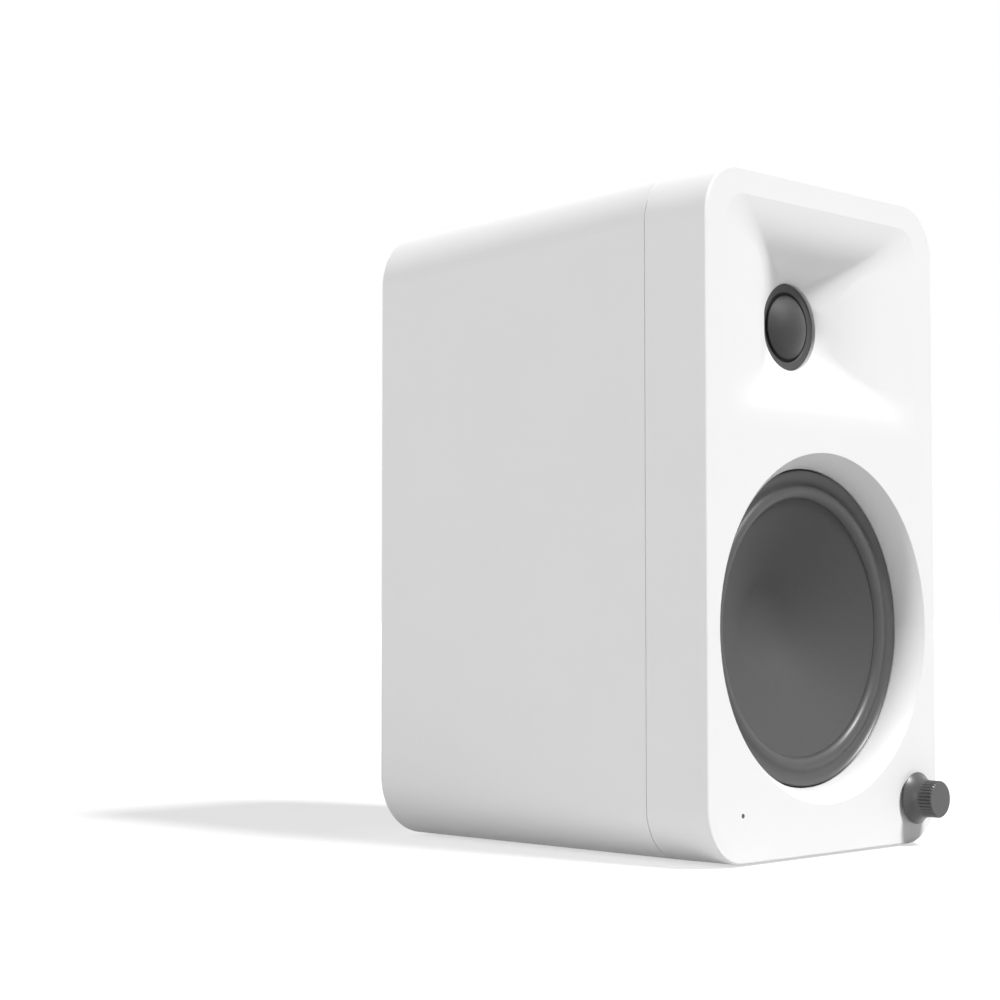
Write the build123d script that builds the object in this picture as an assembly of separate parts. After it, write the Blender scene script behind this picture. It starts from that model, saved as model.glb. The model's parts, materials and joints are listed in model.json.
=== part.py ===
from build123d import *
import os
from math import asin, cos, radians, sin, sqrt, tan

# Powered bookshelf speaker: white tapered cabinet, horn-loaded dome tweeter, dish woofer and volume knob.
# Millimetres, X to the right, Y from the front towards the back, Z up.
# Pieces are drawn with Y zero on the front face and Z zero under the feet.
# They are written with the origin at the bottom centre of the whole envelope.

# Cabinet
cabinet_width = 150.6
cabinet_height = 260.0
cabinet_depth = 178.0
baffle_depth = 29.4
front_corner = 20.4
rear_corner = 25.0
taper = 4.8
wall = 9.0
face_round = 0.8
seam_chamfer = 0.4
rear_round = 1.5

# Clearances
fit_gap = 0.3
bore_gap = 0.05
glue_gap = 0.1
screw_gap = 0.5

# Feet
foot_radius = 7.0
foot_reach = 0.8
foot_sink = 1.2
foot_spread = 72.0
foot_inset = 24.0

# Seal and screws between baffle and cabinet
seal_edge = 1.3
seal_width = 2.2
seal_thick = 1.0
post_radius = 4.5
post_length = 6.0
boss_wall = 1.5
boss_length = 12.0
baffle_screw_bite = 10.0
low_post_x = 36.0

# Screw sizes
screw_shank = 1.5
screw_head = 2.8
screw_head_height = 2.0
socket_radius = 1.3
socket_depth = 1.2

# Horn in front of the tweeter
horn_top_margin = 10.1
horn_side_margin = 11.8
horn_gap = 8.1
horn_corner = 12.0
horn_crease = 3.0
horn_depth = 17.4
horn_edge_slope = 0.25
throat_drop = 0.6
horn_steps = 7

# Tweeter
throat_radius = 17.4
throat_side_angle = 30.0
ring_gap = 0.35
ring_inner = 13.9
ring_sink = 1.3
ring_dish = 0.3
ring_lip = 0.6
ring_round = 0.45
faceplate_radius = 30.0
faceplate_thick = 3.0
faceplate_boss = 4.6
tweeter_bolt_circle = 26.0
tweeter_screw_bite = 4.5
dome_radius = 12.5
dome_rise = 5.0
dome_thick = 0.35
dome_sink = 1.2
roll_thick = 0.25
roll_dip = 0.3
roll_lip = 1.1
tweeter_gap = 0.35
tweeter_former = 0.25
tweeter_winding = 0.4
tweeter_winding_length = 4.5
tweeter_plate_radius = 22.5
tweeter_plate_thick = 2.5
tweeter_magnet_inner = 16.0
tweeter_magnet_radius = 28.0
tweeter_magnet_thick = 8.0
tweeter_yoke_thick = 4.0
tweeter_cap_radius = 18.0
tweeter_cap_length = 12.0

# Woofer opening
woofer_height = 87.0
recess_radius = 68.0
recess_bulge = 1.2
surround_radius = 61.9
surround_depth = 10.65
surround_gap = 0.4
lip_thick = 1.55

# Woofer diaphragm
cone_radius = 50.4
cone_depth = 13.1
cone_angle = 28.0
cone_thick = 0.9
bowl_radius = 16.0
roll_valley = 1.5
roll_rubber = 0.8
bead_radius = 2.4
bead_offset = 2.5
bead_turn = 55.0
outer_lip = 0.4
inner_lip = 3.6
foot_width = 1.9
foot_thick = 1.9
coil_radius = 12.65
former_thick = 0.3
winding_thick = 0.7
winding_length = 10.0
former_tail = 1.5
magnet_gap = 0.4

# Woofer frame and motor
flange_radius = 70.5
flange_thick = 2.0
woofer_seal = 1.0
woofer_bolt_circle = 67.0
woofer_screw_bite = 5.0
woofer_screws_count = 6
frame_wall = 1.6
frame_legs = 6
leg_window = 36.0
ledge_depth = 41.5
ledge_radius = 42.0
well_radius = 33.0
hub_radius = 16.0
motor_depth = 54.0
spider_thick = 0.5
spider_wave = 1.2
spider_waves = 4
spider_collar = 2.0
top_plate_radius = 36.0
top_plate_thick = 5.0
magnet_radius = 40.0
magnet_inner = 18.0
magnet_thick = 16.0
yoke_thick = 6.0
pole_vent = 4.0
pole_rise = 1.0
terminal_width = 16.0
terminal_height = 6.0
terminal_thick = 1.6
tab_width = 4.8
tab_thick = 0.8
tab_length = 8.0

# Volume knob and its encoder
knob_side_margin = 16.5
knob_height = 18.1
knob_flange = 10.7
knob_rim = 0.8
knob_radius = 7.4
knob_reach = 12.5
knob_flare = 4.6
flare_share = 0.35
knob_chamfer = 0.5
knob_gap = 0.9
knob_flutes = 34
flute_radius = 0.5
flute_depth = 0.4
knob_socket = 6.2
knob_travel = 0.6
face_web = 3.0
encoder_pocket = 10.5
encoder_size = 12.4
encoder_length = 6.5
bush_radius = 3.5
bush_reach = 2.0
nut_radius = 5.2
nut_thick = 1.8
shaft_radius = 3.0
shaft_flat = 2.2
shaft_reach = 9.5
rotor_radius = 5.0
rotor_thick = 1.6
encoder_floor = 1.2
switch_radius = 2.5
switch_height = 1.3
control_board_radius = 9.8
board_thick = 1.6

# Status light
light_side_margin = 20.5
light_height = 17.9
light_radius = 0.85
light_length = 6.0
light_collar = 1.6
light_collar_thick = 1.0
led_radius = 2.5
led_length = 3.5
led_pocket = 5.0
status_board_radius = 7.0

# Bass port
port_radius = 17.0
port_wall = 2.5
port_length = 92.0
port_flare = 8.0
port_flange = 29.0
port_flange_thick = 4.0
port_inner_flare = 4.0

# Rear panel and amplifier
panel_width = 100.0
panel_height = 140.0
panel_corner = 6.0
panel_thick = 2.0
panel_lip = 6.0
panel_base = 22.0
panel_screw_bite = 5.0
board_space = 12.0
board_margin = 2.0
standoff_radius = 3.0
standoff_inset = 6.0
board_screw_bite = 6.0
jack_row = 34.0
jack_pitch = 18.0
jack_first = -28.0
jack_count = 3
jack_body = 12.0
jack_shell = 4.15
jack_shell_thick = 0.6
jack_reach = 9.0
jack_pin_hole = 1.6
usb_x = 30.0
usb_width = 9.0
usb_height = 3.2
usb_metal = 0.4
usb_length = 8.0
usb_tongue = 0.8
post_row = -2.0
post_pitch = 19.0
stud_radius = 3.0
plug_radius = 2.0
plug_depth = 14.0
collar_radius = 6.5
collar_thick = 3.5
cap_radius = 6.5
cap_length = 13.5
cap_gap = 0.5
cap_flutes = 12
cap_flute = 0.9
power_row = -42.0
inlet_x = -20.0
inlet_width = 21.0
inlet_height = 13.0
inlet_slot = 16.4
inlet_slot_height = 8.6
inlet_depth = 11.0
inlet_flange = 2.5
flange_proud = 1.5
inlet_pin_radius = 1.2
inlet_pin_pitch = 8.6
inlet_pin_length = 8.5
rocker_x = 20.0
rocker_width = 10.0
rocker_height = 17.0
rocker_rise = 1.6
rocker_depth = 5.0
rocker_tilt = 8.0
rocker_wall = 1.4
rocker_pin = 1.0
rocker_pin_length = 0.8
sink_width = 44.0
sink_height = 30.0
sink_depth = 20.0
sink_base = 4.0
sink_fins = 8
sink_fin = 1.6
sink_x = -14.0
sink_row = 36.0
capacitor_radius = 8.0
capacitor_length = 25.0
capacitor_pitch = 19.0
capacitor_row = -8.0
capacitor_count = 4
choke_radius = 9.0
choke_wire = 3.5
choke_x = 28.0
choke_pitch = 22.0
choke_row = 25.0
transformer_width = 32.0
transformer_height = 26.0
transformer_depth = 24.0
transformer_core = 12.0
transformer_x = -18.0
transformer_row = -40.0

# Damping felt
pad_thick = 8.0
pad_front_gap = 40.6
pad_rear_gap = 14.0
pad_side_height = 110.0
pad_top_width = 90.0

# Horn and tweeter between the woofer's recess and the top, and port between the rear panel and the top
recess_top = woofer_height + recess_radius
horn_width = cabinet_width - 2 * horn_side_margin
horn_height = cabinet_height - horn_top_margin - recess_top - horn_gap
horn_centre = recess_top + horn_gap + horn_height / 2
tweeter_height = horn_centre - throat_drop
panel_centre = panel_base + panel_height / 2
port_height = (panel_base + panel_height + cabinet_height - taper) / 2

# Knob and light in from the cabinet's sides, and felt between the baffle and the rear wall
knob_x = cabinet_width / 2 - knob_side_margin
light_x = light_side_margin - cabinet_width / 2
pad_start = baffle_depth + pad_front_gap
pad_end = cabinet_depth - wall - pad_rear_gap

# Heights above the floor and depths that several pieces share
tweeter_z = foot_reach + tweeter_height
woofer_z = foot_reach + woofer_height
knob_z = foot_reach + knob_height
light_z = foot_reach + light_height
port_z = foot_reach + port_height
panel_z = foot_reach + panel_centre
flange_front = surround_depth + lip_thick + woofer_seal
flange_back = flange_front + flange_thick
rim_inner = surround_radius - foot_width
rim_outer = rim_inner + 2 * frame_wall
rim_front = surround_depth + foot_thick
ring_front = horn_depth + ring_sink
ring_back = ring_front + ring_dish + ring_lip
faceplate_front = horn_depth + faceplate_boss
faceplate_back = faceplate_front + faceplate_thick
post_end = baffle_depth + post_length
panel_front = cabinet_depth - panel_thick
board_back = panel_front - board_space
board_front = board_back - board_thick
cap_front = cabinet_depth + collar_thick + cap_gap
cap_end = cap_front + cap_length
encoder_back = face_web + encoder_length
envelope_shift = (knob_reach - cap_end) / 2


def face_plane(y, x=0.0, z=0.0):
    """Plane that faces the front, with its own X to the right and its own Y up."""
    return Plane(origin=(x, y, z), x_dir=(1, 0, 0), z_dir=(0, -1, 0))


def prism(sketch, front, back, x=0.0, z=0.0):
    return extrude(face_plane(back, x, z) * sketch, back - front)


def block(width, height, front, back, x=0.0, z=0.0):
    return prism(Rectangle(width, height), front, back, x, z)


def rod(radius, front, back, x=0.0, z=0.0):
    return prism(Circle(radius), front, back, x, z)


def tube(outer, inner, front, back, x=0.0, z=0.0):
    return prism(Circle(outer) - Circle(inner), front, back, x, z)


def turned(sketch, x=0.0, z=0.0):
    """Solid of revolution about a front-to-back axis, from a sketch of radius against depth."""
    return Pos(x, 0, z) * revolve(sketch, Axis.Y)


def outlined(*points):
    return Polygon(*points, align=None)


def ring_points(radius, count, start, x=0.0, z=0.0):
    angles = [radians(start + 360 / count * step) for step in range(count)]
    return [(x + radius * cos(angle), z + radius * sin(angle)) for angle in angles]


def screw(x, z, seat, tip):
    """Pan-head screw along Y, with its head on the far side of the seat from the tip."""
    side = 1 if seat > tip else -1
    top = seat + side * screw_head_height
    body = turned(
        outlined(
            (0, tip), (screw_shank, tip), (screw_shank, seat),
            (screw_head, seat), (screw_head, top), (0, top),
        ),
        x, z,
    )
    floor = top - side * socket_depth
    return body - prism(RegularPolygon(socket_radius, 6), min(floor, top), max(floor, top), x, z)


def screw_hole(x, z, tip, mouth):
    return rod(screw_shank + bore_gap, min(tip, mouth), max(tip, mouth), x, z)


def outline(y, inset=0.0):
    """Rounded outline of the cabinet at one depth, pulled in by an inset."""
    share = max(0.0, y - baffle_depth) / (cabinet_depth - baffle_depth)
    width = cabinet_width - 2 * taper * share
    height = cabinet_height - taper * share
    corner = front_corner + (rear_corner - front_corner) * share
    sketch = RectangleRounded(width - 2 * inset, height - 2 * inset, corner - inset)
    return face_plane(y, 0, foot_reach + height / 2) * sketch


def tapered(front, back, inset=0.0):
    return loft([outline(front, inset), outline(back, inset)], ruled=True)


def post_places():
    """Six screw posts between baffle and cabinet: top corners, waist and underside."""
    reach = post_radius + screw_gap
    corner = (front_corner - wall - reach) / sqrt(2)
    top_x = cabinet_width / 2 - front_corner + corner
    top_z = cabinet_height - front_corner + corner
    waist_x = cabinet_width / 2 - wall - reach
    waist_z = (woofer_height + flange_radius + horn_centre - horn_height / 2) / 2
    low_z = wall + reach
    places = [(top_x, top_z), (waist_x, waist_z), (low_post_x, low_z)]
    return [(side * x, foot_reach + z) for x, z in places for side in (-1, 1)]


def foot_places():
    rows = (baffle_depth + foot_inset, cabinet_depth - foot_inset)
    return [(side * foot_spread / 2, y) for y in rows for side in (-1, 1)]


def woofer_screw_places():
    return ring_points(woofer_bolt_circle, woofer_screws_count, 0, 0, woofer_z)


def tweeter_screw_places():
    return ring_points(tweeter_bolt_circle, 3, 90, 0, tweeter_z)


def panel_screw_places():
    x = (panel_width - panel_lip) / 2
    z = (panel_height - panel_lip) / 2
    return [(i * x, panel_z + k * z) for i in (-1, 1) for k in (-1, 0, 1)]


def board_width():
    return panel_width - 2 * panel_lip - 2 * board_margin


def board_height():
    return panel_height - 2 * panel_lip - 2 * board_margin


def standoff_places():
    x = board_width() / 2 - standoff_inset
    z = board_height() / 2 - standoff_inset
    return [(i * x, panel_z + k * z) for i in (-1, 1) for k in (-1, 1)]


def jack_places():
    return [(jack_first + jack_pitch * step, panel_z + jack_row) for step in range(jack_count)]


def terminal_places():
    return [(side * post_pitch / 2, panel_z + post_row) for side in (-1, 1)]


# Cabinet pieces


def four_cornered(first, middle, last, half_width, half_height):
    """Face of four sides and four corners, from the three points of its first corner and its half sizes."""
    edges = []
    for turn in range(4):
        flip_x = 1 if turn in (0, 3) else -1
        flip_z = 1 if turn in (0, 1) else -1
        corner = [(flip_x * x, flip_z * z) for x, z in (first, middle, last)]
        if turn % 2:
            corner.reverse()
        edges.append(ThreePointArc(*corner))
        reach = (0, flip_z * half_height) if turn % 2 == 0 else (flip_x * half_width, 0)
        far = (-corner[2][0], corner[2][1]) if turn % 2 == 0 else (corner[2][0], -corner[2][1])
        straight = corner[2][0] == reach[0] or corner[2][1] == reach[1]
        edges.append(Line(corner[2], far) if straight else ThreePointArc(corner[2], reach, far))
    return make_face(edges)


def horn_section(share):
    """One cross-section of the horn, from the round throat at 0 to the rounded mouth at 1.

    The upper and side walls meet the face at a slope, and the lower wall runs out level with the face.
    """
    left = 1 - share
    sunk = (1 - horn_edge_slope) * left**3 + horn_edge_slope * left
    half_width = throat_radius + (horn_width / 2 - throat_radius) * share
    above = throat_radius + (horn_height / 2 + throat_drop - throat_radius) * share
    below = throat_radius + (horn_height / 2 - throat_drop - throat_radius) * (1 - sunk ** (1 / 3))
    half_height = (above + below) / 2
    settled = horn_crease + (horn_corner - horn_crease) * share**2
    corner = settled + (throat_radius - settled) * left**6
    bend = corner * (1 - sin(radians(45)))
    first = (half_width, half_height - corner)
    middle = (half_width - bend, half_height - bend)
    last = (half_width - corner, half_height)
    if share == 0:
        angle = radians(throat_side_angle)
        first = (throat_radius * cos(angle), throat_radius * sin(angle))
        last = (first[1], first[0])
    sketch = four_cornered(first, middle, last, half_width, half_height)
    return face_plane(horn_depth * sunk, 0, tweeter_z + (above - below) / 2) * sketch


def horn():
    return loft([horn_section(step / horn_steps) for step in range(horn_steps + 1)])


def woofer_opening():
    """Flared recess, lip and rear pocket, as one turned cutter."""
    inner = surround_radius + surround_gap
    step_back = surround_depth + lip_thick
    pocket = flange_radius + screw_gap
    run = recess_radius - inner
    chord = sqrt(run**2 + surround_depth**2)
    middle = (
        recess_radius - run / 2 - recess_bulge * surround_depth / chord,
        surround_depth / 2 - recess_bulge * run / chord,
    )
    flare = ThreePointArc((recess_radius, 0), middle, (inner, surround_depth))
    rest = Polyline(
        (inner, surround_depth), (inner, step_back), (pocket, step_back),
        (pocket, baffle_depth), (0, baffle_depth), (0, 0), (recess_radius, 0),
    )
    return turned(make_face(flare + rest), 0, woofer_z)


def tweeter_pocket():
    throat = rod(throat_radius, horn_depth, faceplate_front, 0, tweeter_z)
    return throat + rod(faceplate_radius + fit_gap, faceplate_front, baffle_depth, 0, tweeter_z)


def encoder_pocket_cut():
    bush = rod(bush_radius + bore_gap, 0, face_web, knob_x, knob_z)
    return bush + rod(encoder_pocket, face_web, baffle_depth, knob_x, knob_z)


def light_pocket():
    pipe = rod(light_radius + bore_gap, 0, light_length, light_x, light_z)
    led_back = light_length + light_collar_thick + led_length
    seat = rod(led_pocket, light_length, led_back, light_x, light_z)
    return pipe + seat + rod(status_board_radius + fit_gap, led_back, baffle_depth, light_x, light_z)


def front_baffle():
    body = tapered(0, baffle_depth)
    body = fillet(body.edges().group_by(Axis.Y)[0], face_round)
    body = chamfer(body.edges().group_by(Axis.Y)[-1], seam_chamfer)
    for x, z in post_places():
        body += rod(post_radius, baffle_depth, post_end, x, z)
        body -= screw_hole(x, z, baffle_depth - baffle_screw_bite - screw_gap, post_end)
    body -= horn()
    body -= woofer_opening()
    body -= tweeter_pocket()
    body -= encoder_pocket_cut()
    body -= light_pocket()
    for x, z in woofer_screw_places():
        seat = surround_depth + lip_thick
        body -= screw_hole(x, z, seat - woofer_screw_bite - screw_gap, seat)
    for x, z in tweeter_screw_places():
        body -= screw_hole(x, z, faceplate_front - tweeter_screw_bite - screw_gap, faceplate_front)
    return body


def seal_ring(front, back, gap):
    outer = tapered(front, back, seal_edge - gap)
    return outer - tapered(front, back, seal_edge + seal_width + gap)


def port_hole():
    seat = cabinet_depth - port_flange_thick
    through = rod(port_radius + port_wall + fit_gap, cabinet_depth - wall, seat, 0, port_z)
    return through + rod(port_flange + fit_gap, seat, cabinet_depth, 0, port_z)


def panel_hole():
    seat = prism(
        RectangleRounded(panel_width + 2 * fit_gap, panel_height + 2 * fit_gap, panel_corner + fit_gap),
        panel_front, cabinet_depth, 0, panel_z,
    )
    clear_width = panel_width - 2 * panel_lip
    clear_height = panel_height - 2 * panel_lip
    clear = RectangleRounded(clear_width, clear_height, panel_corner - fit_gap)
    return seat + prism(clear, cabinet_depth - wall, panel_front, 0, panel_z)


def cabinet_shell():
    body = tapered(baffle_depth, cabinet_depth)
    body = fillet(body.edges().group_by(Axis.Y)[-1], rear_round)
    body -= tapered(baffle_depth, cabinet_depth - wall, wall)
    for x, z in post_places():
        boss = rod(post_radius + boss_wall, post_end, post_end + boss_length, x, z)
        body += boss - rod(screw_shank + fit_gap, post_end, post_end + boss_length, x, z)
    body -= seal_ring(baffle_depth, baffle_depth + seal_thick, glue_gap)
    body -= port_hole()
    body -= panel_hole()
    for x, z in panel_screw_places():
        body -= screw_hole(x, z, panel_front - panel_screw_bite - screw_gap, panel_front)
    for x, y in foot_places():
        body -= Pos(x, y, foot_reach + foot_sink / 2) * Cylinder(foot_radius + fit_gap, foot_sink)
    return body


def rubber_foot(x, y):
    height = foot_reach + foot_sink
    return Pos(x, y, height / 2) * Cylinder(foot_radius, height)


def damping_pads():
    """Felt on the top wall and on both side walls, cut from a liner of even thickness, clear of the port."""
    liner = tapered(pad_start, pad_end, wall + glue_gap)
    liner -= tapered(pad_start, pad_end, wall + pad_thick)
    liner -= rod(port_radius + port_inner_flare + port_wall + screw_gap, pad_start, pad_end, 0, port_z)
    length = pad_end - pad_start
    middle = (pad_start + pad_end) / 2
    sides = Pos(0, middle, foot_reach + cabinet_height / 2) * Box(cabinet_width, length, pad_side_height)
    top = Pos(0, middle, foot_reach + cabinet_height) * Box(pad_top_width, length, cabinet_height / 2)
    return (liner & sides) + (liner & top)


def port_tube():
    rear = cabinet_depth
    front = cabinet_depth - port_length
    bend = sin(radians(45))
    outer = port_radius + port_wall
    bell = port_radius + port_inner_flare
    flare = ThreePointArc(
        (port_radius, rear - port_flare),
        (port_radius + port_flare * (1 - bend), rear - port_flare * (1 - bend)),
        (port_radius + port_flare, rear),
    )
    shell = Polyline(
        (port_radius + port_flare, rear), (port_flange, rear), (port_flange, rear - port_flange_thick),
        (outer, rear - port_flange_thick), (outer, front + 2 * port_inner_flare),
        (bell + port_wall, front + port_wall), (bell + port_wall, front), (bell, front),
    )
    mouth = ThreePointArc(
        (bell, front),
        (bell - port_inner_flare * bend, front + port_inner_flare * (1 - bend)),
        (port_radius, front + port_inner_flare),
    )
    bore = Line((port_radius, front + port_inner_flare), (port_radius, rear - port_flare))
    return turned(make_face(flare + shell + mouth + bore), 0, port_z)


# Woofer pieces


def cone_frame():
    """Edge, tangent point and bowl centre of the dish, with the unit vector square to its wall."""
    turn = radians(cone_angle)
    sphere = bowl_radius / sin(turn)
    tangent_depth = cone_depth + (cone_radius - bowl_radius) * tan(turn)
    centre = tangent_depth - sphere * cos(turn)
    return turn, sphere, tangent_depth, centre


def woofer_cone():
    turn, sphere, tangent_depth, centre = cone_frame()
    back = sphere + cone_thick
    shift = (cone_thick * sin(turn), cone_thick * cos(turn))
    half = turn / 2
    front_wall = Line((cone_radius, cone_depth), (bowl_radius, tangent_depth))
    bowl = ThreePointArc(
        (bowl_radius, tangent_depth), (sphere * sin(half), centre + sphere * cos(half)), (0, centre + sphere)
    )
    axis = Line((0, centre + sphere), (0, centre + back))
    rear_bowl = ThreePointArc(
        (0, centre + back),
        (back * sin(half), centre + back * cos(half)),
        (bowl_radius + shift[0], tangent_depth + shift[1]),
    )
    rim = (cone_radius + shift[0], cone_depth + shift[1])
    rear_wall = Polyline(
        (bowl_radius + shift[0], tangent_depth + shift[1]), rim, (cone_radius, cone_depth)
    )
    return turned(make_face(front_wall + bowl + axis + rear_bowl + rear_wall), 0, woofer_z)


def roll_circles():
    """Valley of the roll and bead beside the dish, as centre radius, centre depth and radius, in tangent."""
    shoulder = surround_radius - outer_lip
    crest = cone_radius + bead_offset
    width = shoulder - crest
    half = (width**2 - 2 * bead_radius * roll_valley) / (2 * width)
    dip = (half**2 + roll_valley**2) / (2 * roll_valley)
    valley = (shoulder - half, surround_depth + roll_valley - dip, dip)
    return valley, (crest, surround_depth + bead_radius, bead_radius)


def swept(circle, side, grow, start, end):
    """Arc of a grown circle between two angles from its axis, on its back for side 1 or its front for -1."""
    x, y, radius = circle
    reach = radius + grow
    angles = (start, (start + end) / 2, end)
    return ThreePointArc(*[(x + reach * sin(angle), y + side * reach * cos(angle)) for angle in angles])


def dish_lip():
    """Corners of the rubber lip behind the edge of the dish, from its front to its back."""
    turn = radians(cone_angle)
    along = (-inner_lip * cos(turn), inner_lip * sin(turn))
    near = cone_thick + fit_gap
    corners = []
    for gap in (near, near + roll_rubber):
        root = (cone_radius + gap * sin(turn), cone_depth + gap * cos(turn))
        corners.append((root, (root[0] + along[0], root[1] + along[1])))
    return [*corners[0], *reversed(corners[1])]


def woofer_surround():
    """Rubber that dips from the frame's rim to a bead, with a lip behind the edge of the dish."""
    valley, bead = roll_circles()
    outer = asin((surround_radius - outer_lip - valley[0]) / valley[2])
    meet = asin((valley[0] - bead[0]) / (valley[2] + bead[2]))
    rim = asin((rim_inner - valley[0]) / (valley[2] + roll_rubber))
    inner = -radians(bead_turn)
    front_dip = swept(valley, 1, 0, outer, -meet)
    front_bead = swept(bead, -1, 0, meet, inner)
    back_bead = swept(bead, -1, -roll_rubber, inner, meet)
    back_dip = swept(valley, 1, roll_rubber, -meet, rim)
    lip = Polyline(front_bead @ 1, *dish_lip(), back_bead @ 0)
    foot = Polyline(
        back_dip @ 1, (rim_inner, rim_front), (surround_radius, rim_front),
        (surround_radius, surround_depth), front_dip @ 0,
    )
    return turned(make_face(front_dip + front_bead + lip + back_bead + back_dip + foot), 0, woofer_z)


def woofer_frame():
    seat = motor_depth - flange_thick
    body = turned(
        outlined(
            (rim_inner, rim_front), (surround_radius, rim_front), (surround_radius, flange_front),
            (flange_radius, flange_front), (flange_radius, flange_back), (rim_outer, flange_back),
            (ledge_radius + frame_wall, ledge_depth), (ledge_radius + frame_wall, ledge_depth + frame_wall),
            (well_radius + frame_wall, ledge_depth + frame_wall), (well_radius + frame_wall, seat),
            (top_plate_radius, seat), (top_plate_radius, motor_depth), (hub_radius, motor_depth),
            (hub_radius, seat), (well_radius, seat), (well_radius, ledge_depth),
            (ledge_radius, ledge_depth), (rim_inner, flange_back),
        ),
        0, woofer_z,
    )
    front = flange_back + frame_wall
    back = ledge_depth - frame_wall
    window = Pos((ledge_radius + flange_radius) / 2, (front + back) / 2, 0) * Box(
        flange_radius - ledge_radius + 4 * frame_wall, back - front, leg_window
    )
    for step in range(frame_legs):
        body -= Pos(0, 0, woofer_z) * Rot(0, 360 / frame_legs * step, 0) * window
    for x, z in woofer_screw_places():
        body -= rod(screw_shank + fit_gap, flange_front, flange_back, x, z)
    return body


def woofer_gasket():
    ring = tube(
        flange_radius, surround_radius + surround_gap, flange_front - woofer_seal, flange_front, 0, woofer_z
    )
    for x, z in woofer_screw_places():
        ring -= rod(screw_shank + fit_gap, flange_front - woofer_seal, flange_front, x, z)
    return ring


def woofer_coil_former():
    centre, sphere = cone_frame()[3], cone_frame()[1]
    inner = coil_radius - former_thick
    front = centre + sqrt((sphere + cone_thick) ** 2 - inner**2) + glue_gap
    back = motor_depth + (top_plate_thick + winding_length) / 2 + former_tail
    return tube(coil_radius, inner, front, back, 0, woofer_z)


def woofer_winding():
    middle = motor_depth + top_plate_thick / 2
    half = winding_length / 2
    return tube(coil_radius + winding_thick, coil_radius, middle - half, middle + half, 0, woofer_z)


def woofer_spider():
    """Pleated suspension ring: a flat rim, a row of pleats and a flat collar."""
    inner = coil_radius + fit_gap
    outer = ledge_radius - fit_gap
    level = ledge_depth - spider_thick
    start = inner + spider_collar
    last = well_radius - fit_gap
    step = (last - start) / (2 * spider_waves)
    pleats = [(start, 0.0)]
    for index in range(2 * spider_waves):
        pleats.append((start + step * (index + 0.5), spider_wave * (1 if index % 2 else -1)))
    pleats.append((last, 0.0))
    front = [(radius, level + lift) for radius, lift in pleats]
    behind = [(radius, ledge_depth + lift) for radius, lift in reversed(pleats)]
    rim = [(outer, level), (outer, ledge_depth)]
    collar = [(inner, ledge_depth), (inner, level)]
    return turned(outlined(*front, *rim, *behind, *collar), 0, woofer_z)


def woofer_top_plate():
    bore = coil_radius + winding_thick + magnet_gap
    return tube(top_plate_radius, bore, motor_depth, motor_depth + top_plate_thick, 0, woofer_z)


def woofer_magnet():
    front = motor_depth + top_plate_thick
    return tube(magnet_radius, magnet_inner, front, front + magnet_thick, 0, woofer_z)


def woofer_yoke():
    pole = coil_radius - former_thick - magnet_gap
    front = motor_depth - pole_rise
    plate = motor_depth + top_plate_thick + magnet_thick
    return turned(
        outlined(
            (pole_vent, front), (pole, front), (pole, plate), (top_plate_radius, plate),
            (top_plate_radius, plate + yoke_thick), (pole_vent, plate + yoke_thick),
        ),
        0, woofer_z,
    )


def woofer_terminals():
    """Insulating strip on the back of the flange, with two push-on tabs."""
    z = woofer_z + rim_outer + fit_gap + terminal_height / 2
    back = flange_back + terminal_thick
    strip = block(terminal_width, terminal_height, flange_back, back, 0, z)
    x = (terminal_width - tab_width) / 2 - tab_thick
    tabs = [block(tab_width, tab_thick, back, back + tab_length, side * x, z) for side in (-1, 1)]
    return Compound(children=[strip, *tabs])


# Tweeter pieces


def tweeter_faceplate():
    """Sunken face ring with a rounded lip round the dome, and its flange behind the baffle."""
    seat = ring_inner + roll_lip + fit_gap
    ring = throat_radius - ring_gap
    section = outlined(
        (ring, ring_front), (ring, faceplate_front), (faceplate_radius, faceplate_front),
        (faceplate_radius, faceplate_back), (seat, faceplate_back), (seat, ring_back),
        (ring_inner, ring_back), (ring_inner, ring_front + ring_dish),
    )
    lip = section.vertices().group_by(Axis.X)[0].sort_by(Axis.Y)[0]
    body = turned(fillet(lip, ring_round), 0, tweeter_z)
    for x, z in tweeter_screw_places():
        body -= rod(screw_shank + fit_gap, faceplate_front, faceplate_back, x, z)
    return body


def tweeter_surround():
    """Small fabric roll that dips between the dome and the back of the face ring."""
    inner = dome_radius + fit_gap
    outer = ring_inner - roll_thick
    middle = (inner + outer) / 2
    skin = roll_thick / 2
    back = ring_back + roll_thick
    front = ThreePointArc((inner, ring_back), (middle, ring_back + roll_dip), (outer, ring_back))
    lip = Polyline(
        (outer, ring_back), (ring_inner + roll_lip, ring_back), (ring_inner + roll_lip, back),
        (outer + skin, back),
    )
    behind = ThreePointArc((outer + skin, back), (middle, back + roll_dip), (inner - skin, back))
    edge = Polyline((inner - skin, back), (inner - skin, ring_back), (inner, ring_back))
    return turned(make_face(front + lip + behind + edge), 0, tweeter_z)


def tweeter_dome():
    sphere = (dome_radius**2 + dome_rise**2) / (2 * dome_rise)
    base = horn_depth + dome_sink
    centre = base - dome_rise + sphere
    inner = sphere - dome_thick
    foot = sqrt(inner**2 - (centre - base) ** 2)
    reach = sin(radians(20))
    drop = cos(radians(20))
    outside = ThreePointArc(
        (dome_radius, base), (sphere * reach, centre - sphere * drop), (0, centre - sphere)
    )
    axis = Line((0, centre - sphere), (0, centre - inner))
    inside = ThreePointArc((0, centre - inner), (inner * reach, centre - inner * drop), (foot, base))
    return turned(make_face(outside + axis + inside + Line((foot, base), (dome_radius, base))), 0, tweeter_z)


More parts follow.
